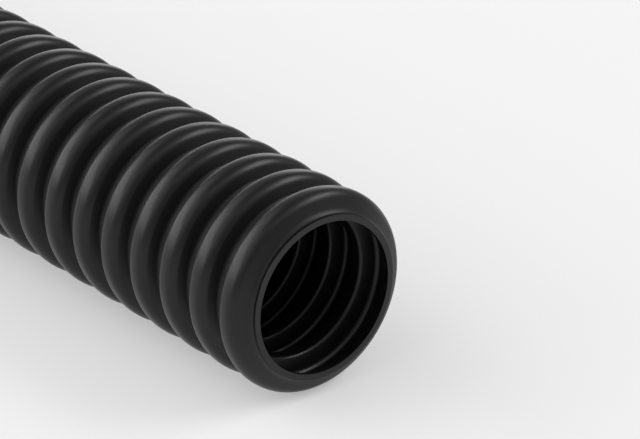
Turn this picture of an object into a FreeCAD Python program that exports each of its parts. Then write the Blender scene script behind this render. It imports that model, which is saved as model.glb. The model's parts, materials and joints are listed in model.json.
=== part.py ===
"""Corrugated conduit: one straight length of black flexible plastic conduit.

The conduit is one moulded piece. Its wall runs in ring after ring: a broad
rounded crest, a steep flank, a round groove, another flank. Inside, the wave is
squarer: flat under each crest, steep beside it, and flat again on the rib that
the back of a groove makes in the bore. So the wall is thickest at the crests
and the ribs, and thin on the flanks, where the conduit bends. The ribs set the
clear bore. Both ends are cut square across the middle of a groove, and the edge
that the cut leaves in the bore is eased, so that cables don't chafe on it.

Units are millimetres. The conduit lies along X on the plane Z = 0, and the
origin is on that plane under the middle of its length.
"""

import FreeCAD
import Part
import math
import os

# Driving dimensions
CREST_DIAMETER = 32.0     # outside, over the crests
BORE_DIAMETER = 23.1      # inside, between the ribs
NOMINAL_LENGTH = 1000.0   # sold length, which the cut rounds to whole rings
PITCH = 7.25              # from one ring to the next
WALL = 1.4                # square to the axis, through a crest and through a rib
END_EASE = 0.45           # a rib that the cut halves is lower by this

# The wave outside: straight width and shoulder radius of a crest, radius of a groove
CREST_FLAT = 0.5
CREST_ROUND = 1.95
GROOVE_ROUND = 1.2

# The wave inside: straight width and shoulder radius under a crest and on a rib
HOLLOW_FLAT = 1.6
HOLLOW_ROUND = 1.1
RIB_FLAT = 1.4
RIB_ROUND = 0.65

# Beside a crest's shoulder, a valley's round takes at most this share of the room
ROUND_SHARE = 0.9

# What follows from them
ring_count = max(1, round(NOMINAL_LENGTH / PITCH))
cut_length = ring_count * PITCH
crest_radius = CREST_DIAMETER / 2
rib_radius = BORE_DIAMETER / 2
groove_radius = rib_radius + WALL
hollow_radius = crest_radius - WALL
cut_rib_radius = rib_radius + END_EASE

AXIS = FreeCAD.Vector(1, 0, 0)
LIFT = FreeCAD.Vector(0, 0, crest_radius)   # the axis lies this far above the floor


def point(x, radius):
    """A point of the section, which is drawn above the conduit's axis."""
    return FreeCAD.Vector(x, 0, radius)


def line(start, end):
    """A straight edge of the section."""
    return Part.LineSegment(start, end).toShape()


def arc(centre, radius, start, end):
    """A round edge of the section, its angles taken from straight outward to +X."""
    def at(angle):
        return centre + point(radius * math.sin(angle), radius * math.cos(angle))
    return Part.Arc(at(start), at((start + end) / 2), at(end)).toShape()


def half_ring(x, side, crest, valley):
    """Half a ring, from the middle of the valley at x to the middle of a crest.

    The crest is the next one towards +X where side is 1, and towards -X where
    it is -1. Crest and valley are each given as radius, straight width and
    round. The flank is the line that touches both rounds, one on each side: the
    crest round's centre lies run further along the axis than the valley
    round's, and rise further out.
    """
    crest_at, crest_flat, crest_round = crest
    valley_at, valley_flat, valley_round = valley
    run = (PITCH - crest_flat - valley_flat) / 2
    valley_round = min(valley_round, ROUND_SHARE * (run - crest_round))
    rise = (crest_at - crest_round) - (valley_at + valley_round)
    lean = math.atan2(rise, run) + math.asin((crest_round + valley_round) / math.hypot(run, rise))

    valley_centre = point(x + side * valley_flat / 2, valley_at + valley_round)
    crest_centre = valley_centre + point(side * run, rise)
    foot = arc(valley_centre, valley_round, math.pi, math.pi - side * lean)
    shoulder = arc(crest_centre, crest_round, -side * lean, 0)
    edges = [
        foot,
        line(foot.lastVertex().Point, shoulder.firstVertex().Point),
        shoulder,
        line(shoulder.lastVertex().Point, point(x + side * PITCH / 2, crest_at)),
    ]
    if valley_flat > 0:
        edges.append(line(point(x, valley_at), foot.firstVertex().Point))
    return edges


def wave(crest, valley, end_valley):
    """One side of the wall over the whole length, half a ring either side of each crest."""
    edges = []
    for ring in range(ring_count):
        start = ring * PITCH - cut_length / 2
        before = end_valley if ring == 0 else valley
        after = end_valley if ring == ring_count - 1 else valley
        edges += half_ring(start, 1, crest, before)
        edges += half_ring(start + PITCH, -1, crest, after)
    return edges


def conduit():
    """The wall's section, turned once round the axis and laid on the floor."""
    groove = (groove_radius, 0, GROOVE_ROUND)
    outside = wave(
        crest=(crest_radius, CREST_FLAT, CREST_ROUND),
        valley=groove,
        end_valley=groove,
    )
    inside = wave(
        crest=(hollow_radius, HOLLOW_FLAT, HOLLOW_ROUND),
        valley=(rib_radius, RIB_FLAT, RIB_ROUND),
        end_valley=(cut_rib_radius, RIB_FLAT, RIB_ROUND),
    )
    cuts = [
        line(point(end, cut_rib_radius), point(end, groove_radius))
        for end in (-cut_length / 2, cut_length / 2)
    ]
    section = Part.Face(Part.Wire(Part.__sortEdges__(outside + inside + cuts)))
    turned = section.revolve(FreeCAD.Vector(0, 0, 0), AXIS, 360).removeSplitter()
    turned.translate(LIFT)
    return turned


def main():
    os.makedirs("parts", exist_ok=True)
    part = conduit()
    part.exportStep("parts/corrugated_conduit.step")
    print(f"{ring_count} rings, {cut_length:.1f} mm long, {len(part.Faces)} faces, valid {part.isValid()}")
    print(f"volume {part.Volume / 1000:.1f} cm3")


main()
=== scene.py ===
# %% [markdown]
# # A length of corrugated conduit
#
# The object is one straight length of black plastic conduit, the kind that
# protects cables. Its thin wall is moulded into ring after ring. The scene
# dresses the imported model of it: a fine surface takes the place of the coarse
# one, a plastic finish goes on, and a floor, lamps and a camera go round it.

import json
import math

import bpy
import numpy as np
from mathutils import Matrix, Vector


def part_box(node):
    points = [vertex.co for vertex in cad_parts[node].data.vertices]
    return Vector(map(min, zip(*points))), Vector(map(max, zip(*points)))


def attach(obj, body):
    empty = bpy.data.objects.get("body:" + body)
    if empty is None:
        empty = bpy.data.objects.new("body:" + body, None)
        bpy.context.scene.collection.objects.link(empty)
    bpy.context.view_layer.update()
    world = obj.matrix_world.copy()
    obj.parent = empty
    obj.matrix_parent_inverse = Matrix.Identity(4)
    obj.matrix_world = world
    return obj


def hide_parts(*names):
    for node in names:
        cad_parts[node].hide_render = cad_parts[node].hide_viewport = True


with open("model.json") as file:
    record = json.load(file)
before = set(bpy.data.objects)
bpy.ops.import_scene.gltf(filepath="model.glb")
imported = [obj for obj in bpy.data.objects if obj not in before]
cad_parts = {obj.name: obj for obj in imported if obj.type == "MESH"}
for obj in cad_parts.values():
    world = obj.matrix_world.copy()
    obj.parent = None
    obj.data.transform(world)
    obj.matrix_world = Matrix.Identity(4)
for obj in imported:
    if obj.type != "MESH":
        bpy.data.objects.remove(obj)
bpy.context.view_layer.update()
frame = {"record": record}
NODE = "corrugated_conduit"
BODY = "root"

# %% [markdown]
# ## Sizes
#
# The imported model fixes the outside, the length and the bore. The rest of the
# wall's section is a few real sizes: the width of a ring, the rounds on its
# crest and in its groove, and the thickness of the wall. They could be measured
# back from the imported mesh, but written out they can be read and changed. All
# values are metres.

# %% Sizes
MM = 0.001
low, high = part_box(NODE)
mounts = {mount["name"]: mount for mount in frame["record"]["mounts"]}

crest_radius = (high.z - low.z) / 2
axis_height = low.z + crest_radius
rib_radius = mounts["clear_bore"]["dims"]["r_mm"] * MM
half_length = (high.x - low.x) / 2

NOMINAL_PITCH = 7.25 * MM  # from one ring to the next
WALL = 1.4 * MM            # square to the axis, through a crest and through a rib
CREST_FLAT = 0.5 * MM      # straight width on top of a crest
CREST_ROUND = 1.95 * MM    # radius of a crest's shoulders
GROOVE_ROUND = 1.2 * MM    # a groove is one round
HOLLOW_FLAT = 1.6 * MM     # straight width under a crest, inside
HOLLOW_ROUND = 1.1 * MM    # radius of its shoulders
RIB_FLAT = 1.4 * MM        # straight width on a rib, inside
RIB_ROUND = 0.65 * MM      # radius of a rib's shoulders
END_EASE = 0.45 * MM       # a rib that the cut halves is lower by this

ring_count = round(2 * half_length / NOMINAL_PITCH)
pitch = 2 * half_length / ring_count
groove_radius = rib_radius + WALL
print(f"{ring_count} rings of {pitch / MM:.3f} mm, crest radius {crest_radius / MM:.2f} mm")

# %% [markdown]
# ## The wall's section
#
# Cut lengthwise, the wall is a wave: a rounded crest, a straight flank, a
# tight groove. A flank is the line that touches both rounds. The wave could be
# a sine, but a sine has no straight flanks, and the light on a real ring shows
# a broad round top on steep sides. So half a ring is worked out from two arcs,
# and mirrored.
#
# The same function gives the inside of the wall, where the back of a groove
# stands into the bore as a rib. The inside is squarer: flat under a crest, steep
# beside it and flat on a rib. So the wall is thick at crests and ribs, and thin
# on the flanks, where the conduit bends.

# %% Half a ring
def flank_fall(crest, valley):
    """How steeply the flank falls, in radians.

    The centres of the two rounds lie run apart along the axis and drop apart
    across it. The flank touches both circles, one on each side:
    fall = atan(drop / run) + asin(sum of the radii / distance of the centres).
    """
    crest_at, crest_flat, crest_round = crest
    valley_at, valley_flat, valley_round = valley
    run = (pitch - crest_flat - valley_flat) / 2
    drop = (crest_at - crest_round) - (valley_at + valley_round)
    return math.atan2(drop, run) + math.asin((crest_round + valley_round) / math.hypot(run, drop))


def half_ring(crest, valley, crest_steps, valley_steps):
    """Points (x, radius) from a valley's middle up to the crest's shoulder.

    Each arc is centre + radius * (sin angle, cos angle), with the angle taken
    from straight outward. Valley: from pi back to pi - fall. Crest: from -fall
    to 0. The straight flank needs no points of its own.
    """
    crest_at, crest_flat, crest_round = crest
    valley_at, valley_flat, valley_round = valley
    fall = flank_fall(crest, valley)
    low_angle = np.linspace(math.pi, math.pi - fall, valley_steps + 1)
    high_angle = np.linspace(-fall, 0, crest_steps + 1)
    valley_arc = np.column_stack([
        valley_flat / 2 + valley_round * np.sin(low_angle),
        valley_at + valley_round + valley_round * np.cos(low_angle),
    ])
    crest_arc = np.column_stack([
        (pitch - crest_flat) / 2 + crest_round * np.sin(high_angle),
        crest_at - crest_round + crest_round * np.cos(high_angle),
    ])
    middle_of_valley = np.array([[0, valley_at]] if valley_flat > 0 else []).reshape(-1, 2)
    return np.vstack([middle_of_valley, valley_arc, crest_arc])


OUTER_CREST = (crest_radius, CREST_FLAT, CREST_ROUND)
GROOVE = (groove_radius, 0, GROOVE_ROUND)
HOLLOW = (crest_radius - WALL, HOLLOW_FLAT, HOLLOW_ROUND)
RIB = (rib_radius, RIB_FLAT, RIB_ROUND)
CUT_RIB = (rib_radius + END_EASE, RIB_FLAT, RIB_ROUND)
print(f"outer flank leans {90 - math.degrees(flank_fall(OUTER_CREST, GROOVE)):.1f} degrees from square")
print(f"inner flank leans {90 - math.degrees(flank_fall(HOLLOW, RIB)):.1f} degrees from square")

# %% [markdown]
# ## From half a ring to a wave
#
# A wave is the half ring, mirrored and repeated. Only the two ends differ: the
# knife goes through the middle of a valley, and the edge that it leaves in the
# bore is eased, so the half rib at a cut is a little lower than the others. The
# repeat could be a loop that adds one point at a time, but one addition of two
# whole arrays does it at once.

# %% Repeat it
def wave(rings, crest, valley, first, last, crest_steps, valley_steps):
    """One side of the wall over whole rings, as (x, radius) from x = 0.

    It goes up from the first valley, then down and up through the valley after
    each ring, where ring k adds k * pitch to x, and down to the last valley.
    Down is up read backwards, with x turned into pitch - x.
    """
    up = half_ring(crest, valley, crest_steps, valley_steps)
    between = np.vstack([up[::-1] * [-1, 1] + [pitch, 0], up[1:] + [pitch, 0]])
    offsets = np.column_stack([np.arange(rings - 1) * pitch, np.zeros(rings - 1)])
    repeated = (between[None] + offsets[:, None]).reshape(-1, 2)
    head = half_ring(crest, first, crest_steps, valley_steps)
    tail = half_ring(crest, last, crest_steps, valley_steps)[::-1] * [-1, 1] + [rings * pitch, 0]
    return np.vstack([head, repeated, tail])


sample = wave(3, OUTER_CREST, GROOVE, GROOVE, GROOVE, 8, 4)
print(f"three rings take {len(sample)} points and reach x = {sample[-1, 0] / MM:.2f} mm")

# %% [markdown]
# ## The fine line behind the lip
#
# Round each cut, the groove that was halved keeps a lip, and close behind the
# lip runs a fine dark line, as a cutter's guide may press it into the groove. It
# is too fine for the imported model, so it is added here. A painted line would be
# quicker, but a pressed one is dark only where the light can't get in, as the
# real one is.

# %% Press a line
LINE_FROM_CUT = 0.36 * MM
LINE_WIDTH = 0.42 * MM
LINE_DEPTH = 0.3 * MM
PRESSED = 0.6 * MM         # from the cut, the groove is drawn anew to here
PRESSED_STEPS = 15


def press_line(outside, at_start, at_end):
    """The outside (x, radius) with a line pressed in at the cuts that it has.

    At a distance d from the cut, the groove's round lies at
    groove + R - sqrt(R^2 - d^2). The line takes depth * cos^2 off that, the
    cosine running from one edge of the line to the other.
    """
    distance = np.linspace(0, PRESSED, PRESSED_STEPS)
    across = np.clip((distance - LINE_FROM_CUT) / LINE_WIDTH, -0.5, 0.5)
    radius = groove_radius + GROOVE_ROUND - np.sqrt(GROOVE_ROUND**2 - distance**2)
    pressed = np.column_stack([distance, radius - LINE_DEPTH * np.cos(math.pi * across) ** 2])
    end = outside[-1, 0]
    if at_start:
        outside = np.vstack([pressed, outside[outside[:, 0] > PRESSED]])
    if at_end:
        outside = np.vstack([outside[outside[:, 0] < end - PRESSED], pressed[::-1] * [-1, 1] + [end, 0]])
    return outside


print("points with both lines:", len(press_line(sample, True, True)))

# %% [markdown]
# ## The wall as a surface
#
# The section is a closed loop: along the outside, through the cut at one end,
# back along the inside and through the other cut. Carried once round the axis
# it gives the whole wall, inside and out, with no open edge. The Screw modifier
# could turn it, but as arrays it is one formula. The grid's two parameters are
# the place along the loop and the angle round the axis.

# %% A surface of revolution
def revolve(loop, segments):
    """Vertices and quads of a closed loop (x, radius) turned round the axis.

    Point (i, j) is (x_i, -r_i * sin a_j, height + r_i * cos a_j), where a_j
    runs once round in equal steps. Both directions wrap, so nothing is open.
    """
    angle = np.linspace(0, 2 * math.pi, segments, endpoint=False)
    x, radius = loop[:, 0, None], loop[:, 1, None]
    grid = np.stack([
        np.broadcast_to(x, (len(loop), segments)),
        -radius * np.sin(angle),
        axis_height + radius * np.cos(angle),
    ], axis=-1)
    i, j = np.meshgrid(np.arange(len(loop)), np.arange(segments), indexing="ij")
    i_next, j_next = (i + 1) % len(loop), (j + 1) % segments
    quads = np.stack([
        i * segments + j,
        i_next * segments + j,
        i_next * segments + j_next,
        i * segments + j_next,
    ], axis=-1)
    return grid.reshape(-1, 3), quads.reshape(-1, 4)


def mesh_object(name, vertices, quads, sharp_degrees=40):
    """A mesh object made from whole arrays, smooth but for edges sharper than the angle."""
    mesh = bpy.data.meshes.new(name)
    mesh.vertices.add(len(vertices))
    mesh.vertices.foreach_set("co", vertices.astype(np.float32).ravel())
    mesh.loops.add(quads.size)
    mesh.loops.foreach_set("vertex_index", quads.astype(np.int32).ravel())
    mesh.polygons.add(len(quads))
    mesh.polygons.foreach_set("loop_start", np.arange(0, quads.size, 4, dtype=np.int32))
    mesh.update(calc_edges=True)
    mesh.validate()
    mesh.shade_smooth()
    mesh.set_sharp_from_angle(angle=math.radians(sharp_degrees))
    piece = bpy.data.objects.new(name, mesh)
    bpy.context.scene.collection.objects.link(piece)
    return piece


# %% [markdown]
# ## Where it is polished and where it is worn
#
# The rings come off the mould with a soft polish. Only the flank that faces out
# at each open end has been rubbed, by knife, box and hands, and it is duller. The
# material could read X for this, but the bore begins at the same X and kept its
# polish. So each point of the section gets a number from 0, dull, to 1,
# polished, and the mesh carries it as an attribute that the material can read.

# %% Polish along the section
RUBBED = np.array([0.6, 0.8, 1.4, 2.0]) * MM   # from the cut: polished, dull, dull, polished


def polish(x):
    """How polished the outside is, in straight lines between the four distances from a cut."""
    return np.interp(half_length - abs(x), RUBBED, (1, 0, 0, 1))


def carry(piece, name, values):
    """A float attribute on a mesh, one value for each vertex."""
    attribute = piece.data.attributes.new(name, "FLOAT", "POINT")
    attribute.data.foreach_set("value", values.astype(np.float32))


print("polish from the cut inward:", np.round(polish(half_length - sample[:14, 0]), 2))

# %% [markdown]
# ## Three stretches, one conduit
#
# Every ring is the same, but they aren't all seen from close by. One mesh with
# the finest rings would be far too heavy, so the stretch behind the open end
# gets fine rings and the long rest gets plainer ones. All follow the same
# section and meet in the middle of a groove.

# %% Build the stretches
NEAR_RINGS = 16
far_rings = (ring_count - NEAR_RINGS) // 2
middle_rings = ring_count - NEAR_RINGS - far_rings


def stretch(name, first_ring, rings, segments, crest_steps, valley_steps):
    """A stretch of the wall from one groove's middle to another's, closed at both cuts."""
    first = CUT_RIB if first_ring == 0 else RIB
    last = CUT_RIB if first_ring + rings == ring_count else RIB
    outside = wave(rings, OUTER_CREST, GROOVE, GROOVE, GROOVE, crest_steps, valley_steps)
    outside = press_line(outside, first_ring == 0, first_ring + rings == ring_count)
    inside = wave(rings, HOLLOW, RIB, first, last, crest_steps // 2 + 1, valley_steps)
    loop = np.vstack([outside, inside[::-1]])
    loop[:, 0] += first_ring * pitch - half_length
    piece = mesh_object(name, *revolve(loop, segments))
    shine = np.concatenate([polish(loop[:len(outside), 0]), np.ones(len(inside))])
    carry(piece, "polish", np.repeat(shine, segments))
    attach(piece, BODY)
    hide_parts(NODE)
    print(f"{name}: {rings} rings, {2 * len(piece.data.polygons)} triangles")
    return piece


stretches = [
    stretch("far_stretch", 0, far_rings, 52, crest_steps=4, valley_steps=2),
    stretch("middle_stretch", far_rings, middle_rings, 52, crest_steps=4, valley_steps=2),
    stretch("near_stretch", far_rings + middle_rings, NEAR_RINGS, 96, crest_steps=8, valley_steps=4),
]

# %% [markdown]
# ## Black plastic
#
# The conduit is soft black plastic, coloured through and left as it comes from
# the mould: satin, so a lamp shows on it as a broad soft band, and never quite
# even. One flat colour with one roughness would look like paint. A fine noise
# gives the skin its grain, and a slower noise lets patches of it shine a little
# more or less. Both read Object coordinates, so the pattern sits still on the
# conduit. The roughness also follows the polish that the mesh carries. Soft
# plastic reflects less than a hard lacquer, so its specular level is low.
#
# The two cut faces were made by a knife and not by the mould. They scatter more
# light and look a little lighter, and a mask on X finds them.

# %% The plastic
MOULDED_COLOUR = (0.004, 0.004, 0.0042, 1)
CUT_COLOUR = (0.0075, 0.0075, 0.0078, 1)
CUT_MARGIN = 0.02 * MM     # what lies this close to an end's plane is its cut face
SPECULAR_LEVEL = 0.36
MOULDED_ROUGHNESS = 0.34
RUBBED_ROUGHNESS = 0.45
PATCH_RANGE = 0.1          # of roughness, from the shiniest patch to the dullest
PATCHES_PER_METRE = 90
GRAINS_PER_METRE = 1400
GRAIN_HEIGHT = 0.01 * MM
GRAIN_STRENGTH = 0.3


def plastic(name):
    """A satin black plastic with a fine grain, duller where it is rubbed, lighter where it is cut."""
    material = bpy.data.materials.new(name)
    material.use_nodes = True
    nodes, links = material.node_tree.nodes, material.node_tree.links
    shader = nodes["Principled BSDF"]
    shader.inputs["Specular IOR Level"].default_value = SPECULAR_LEVEL
    place = nodes.new("ShaderNodeTexCoord").outputs["Object"]

    def noise(scale, detail):
        """Noise from 0 to 1 on the conduit's own coordinates, with scale in lumps per metre."""
        node = nodes.new("ShaderNodeTexNoise")
        node.inputs["Scale"].default_value = scale
        node.inputs["Detail"].default_value = detail
        links.new(place, node.inputs["Vector"])
        return node.outputs["Fac"]

    def math_node(operation, first, second):
        """One sum of two values, each a number or another node's output."""
        node = nodes.new("ShaderNodeMath")
        node.operation = operation
        for socket, value in zip(node.inputs, (first, second)):
            if isinstance(value, (int, float)):
                socket.default_value = value
            else:
                links.new(value, socket)
        return node.outputs["Value"]

    grain = noise(scale=GRAINS_PER_METRE, detail=3)
    patches = noise(scale=PATCHES_PER_METRE, detail=2)
    polished = nodes.new("ShaderNodeAttribute")
    polished.attribute_name = "polish"

    axis = nodes.new("ShaderNodeSeparateXYZ")
    links.new(place, axis.inputs["Vector"])
    from_middle = math_node("ABSOLUTE", axis.outputs["X"], 0)
    cut_face = math_node("GREATER_THAN", from_middle, half_length - CUT_MARGIN)

    smoothed = math_node("MULTIPLY", polished.outputs["Fac"], RUBBED_ROUGHNESS - MOULDED_ROUGHNESS)
    even = math_node("SUBTRACT", RUBBED_ROUGHNESS, smoothed)
    patch = math_node("MULTIPLY", math_node("SUBTRACT", patches, 0.5), PATCH_RANGE)
    links.new(math_node("ADD", even, patch), shader.inputs["Roughness"])

    colour = nodes.new("ShaderNodeMix")
    colour.data_type = "RGBA"
    colour.inputs["A"].default_value = MOULDED_COLOUR
    colour.inputs["B"].default_value = CUT_COLOUR
    links.new(cut_face, colour.inputs["Factor"])
    links.new(colour.outputs["Result"], shader.inputs["Base Color"])

    relief = nodes.new("ShaderNodeBump")
    relief.inputs["Strength"].default_value = GRAIN_STRENGTH
    relief.inputs["Distance"].default_value = GRAIN_HEIGHT
    links.new(grain, relief.inputs["Height"])
    links.new(relief.outputs["Normal"], shader.inputs["Normal"])
    return material


moulded_black = plastic("moulded_black")
for piece in stretches:
    piece.data.materials.append(moulded_black)
print("finish on", [piece.name for piece in stretches])

# %% [markdown]
# ## The floor
#
# The conduit lies on a white sheet, wide enough to have no edge in view. More
# lamps could burn it out to white, but they would burn the conduit too. So the
# sheet has a pale colour under plain light, and a third of what the camera and
# mirroring surfaces see of it is an even white, by Light Path. The soft shadow
# that seats the conduit stays.

# %% White sheet
FLOOR_SIZE = 40.0
SHEET_COLOUR = (0.85, 0.85, 0.85, 1)
WHITE_SHARE = 0.35         # of the even white in what the camera and mirrors see
corners = np.array([[-1, -1, 0], [1, -1, 0], [1, 1, 0], [-1, 1, 0]]) * FLOOR_SIZE / 2
floor = mesh_object("floor", corners, np.array([[0, 1, 2, 3]]))

sheet = bpy.data.materials.new("white_sheet")
sheet.use_nodes = True
sheet_nodes, sheet_links = sheet.node_tree.nodes, sheet.node_tree.links
lit = sheet_nodes["Principled BSDF"]
lit.inputs["Base Color"].default_value = SHEET_COLOUR
lit.inputs["Roughness"].default_value = 0.9
lit.inputs["Specular IOR Level"].default_value = 0.1

white = sheet_nodes.new("ShaderNodeEmission")
path = sheet_nodes.new("ShaderNodeLightPath")
seen = path.outputs["Is Camera Ray"]
for kind_of_ray in ("Is Glossy Ray", "Is Transmission Ray"):
    either = sheet_nodes.new("ShaderNodeMath")
    either.operation = "MAXIMUM"
    sheet_links.new(seen, either.inputs[0])
    sheet_links.new(path.outputs[kind_of_ray], either.inputs[1])
    seen = either.outputs["Value"]
share = sheet_nodes.new("ShaderNodeMath")
share.operation = "MULTIPLY"
share.inputs[1].default_value = WHITE_SHARE
sheet_links.new(seen, share.inputs[0])

blend = sheet_nodes.new("ShaderNodeMixShader")
sheet_links.new(share.outputs["Value"], blend.inputs["Fac"])
sheet_links.new(lit.outputs["BSDF"], blend.inputs[1])
sheet_links.new(white.outputs["Emission"], blend.inputs[2])
sheet_links.new(blend.outputs["Shader"], sheet_nodes["Material Output"].inputs["Surface"])
floor.data.materials.append(sheet)
print("floor is", FLOOR_SIZE, "m wide")

# %% [markdown]
# ## Soft boxes
#
# Black plastic has hardly any colour of its own to show. What the eye reads is
# the lamps that it mirrors, so each lamp is placed by the band of light that it
# has to draw. Five boxes at the left stand close together, as one broad bank,
# and draw the wide soft band down each ring's left side. Two weak ones in front
# bring the bank round towards the camera. Two boxes high at the right draw the
# second band, near the top. A low strip behind lights the back edge of every
# crest. The rest of the room is a dim, even white. One big lamp at the left
# would be simpler, but its band would be as bright at its edges as in its middle.
#
# A box is set by the direction in which it stands from the open end, how many
# degrees it spans, and how bright its face is, where 1 is white. Its power then
# follows: pi times its area times its brightness.

# %% Lamps and room
LAMP_DISTANCE = 2.0
ROOM_BRIGHTNESS = 0.38
open_end = Vector((half_length, 0, axis_height))


def soft_box(name, azimuth, elevation, width, height, brightness):
    """A rectangular lamp that faces the open end, its place and spans in degrees.

    A face seen under an angle is 2 * distance * tan(angle / 2) wide.
    """
    turn, tilt = math.radians(azimuth), math.radians(elevation)
    towards = Vector((math.cos(tilt) * math.cos(turn), math.cos(tilt) * math.sin(turn), math.sin(tilt)))
    data = bpy.data.lights.new(name, "AREA")
    data.shape = "RECTANGLE"
    data.size = 2 * LAMP_DISTANCE * math.tan(math.radians(width) / 2)
    data.size_y = 2 * LAMP_DISTANCE * math.tan(math.radians(height) / 2)
    data.energy = math.pi * data.size * data.size_y * brightness
    lamp = bpy.data.objects.new(name, data)
    lamp.location = open_end + towards * LAMP_DISTANCE
    lamp.rotation_euler = towards.to_track_quat("Z", "Y").to_euler()
    lamp.visible_camera = False
    bpy.context.scene.collection.objects.link(lamp)
    print(f"{name}: {data.size:.2f} by {data.size_y:.2f} m, {data.energy:.1f} W")


soft_box("low_left_box", azimuth=-150, elevation=14, width=40, height=16, brightness=2.6)
soft_box("left_box", azimuth=-150, elevation=32, width=40, height=18, brightness=2.6)
soft_box("high_left_box", azimuth=-150, elevation=54, width=44, height=22, brightness=0.8)
soft_box("near_left_box", azimuth=-110, elevation=22, width=34, height=24, brightness=2.9)
soft_box("high_near_box", azimuth=-100, elevation=50, width=44, height=24, brightness=0.8)
soft_box("front_left_box", azimuth=-70, elevation=28, width=30, height=28, brightness=0.55)
soft_box("front_top_box", azimuth=-35, elevation=62, width=44, height=24, brightness=0.3)
soft_box("right_box", azimuth=60, elevation=44, width=36, height=18, brightness=5.2)
soft_box("broad_right_box", azimuth=30, elevation=58, width=50, height=28, brightness=0.4)
soft_box("back_strip", azimuth=147, elevation=10, width=40, height=20, brightness=1.5)

room = bpy.data.worlds.new("studio")
bpy.context.scene.world = room
room.use_nodes = True
room_light = room.node_tree.nodes["Background"]
room_light.inputs["Color"].default_value = (1, 1, 1, 1)
room_light.inputs["Strength"].default_value = ROOM_BRIGHTNESS

# %% [markdown]
# ## The camera
#
# The conduit is seen from in front of its open end, to the left of its axis
# and above it. The lens is long, because the rings behind the open end hardly
# shrink. The middle of the open end is placed by how far it lies to the right
# of the camera's axis, above it and ahead of it, and the camera stands where
# that puts it.

# %% Camera
AZIMUTH = math.radians(51.02)
ELEVATION = math.radians(25.53)
FOCAL_PIXELS = 4022.89
FRAME_PIXELS = 640
SENSOR_WIDTH = 36.0
rim_from_camera = np.array([0.7153, -11.4573, 587.404]) * MM   # right, up, ahead

right = np.array([math.cos(AZIMUTH), math.sin(AZIMUTH), 0])
back = np.array([
    math.sin(AZIMUTH) * math.cos(ELEVATION),
    -math.cos(AZIMUTH) * math.cos(ELEVATION),
    math.sin(ELEVATION),
])
up = np.cross(back, right)
stand = np.array(open_end) - rim_from_camera @ np.array([right, up, -back])

camera = bpy.data.objects.new("camera", bpy.data.cameras.new("camera"))
bpy.context.scene.collection.objects.link(camera)
turn = np.eye(4)
turn[:3, 0], turn[:3, 1], turn[:3, 2], turn[:3, 3] = right, up, back, stand
camera.matrix_world = Matrix(turn)
camera.data.sensor_width = SENSOR_WIDTH
camera.data.lens = FOCAL_PIXELS / FRAME_PIXELS * SENSOR_WIDTH
camera.data.clip_start = 0.01
camera.data.clip_end = 50
bpy.context.scene.camera = camera
bpy.context.scene.view_settings.view_transform = "Standard"
print("camera at", np.round(stand, 4))
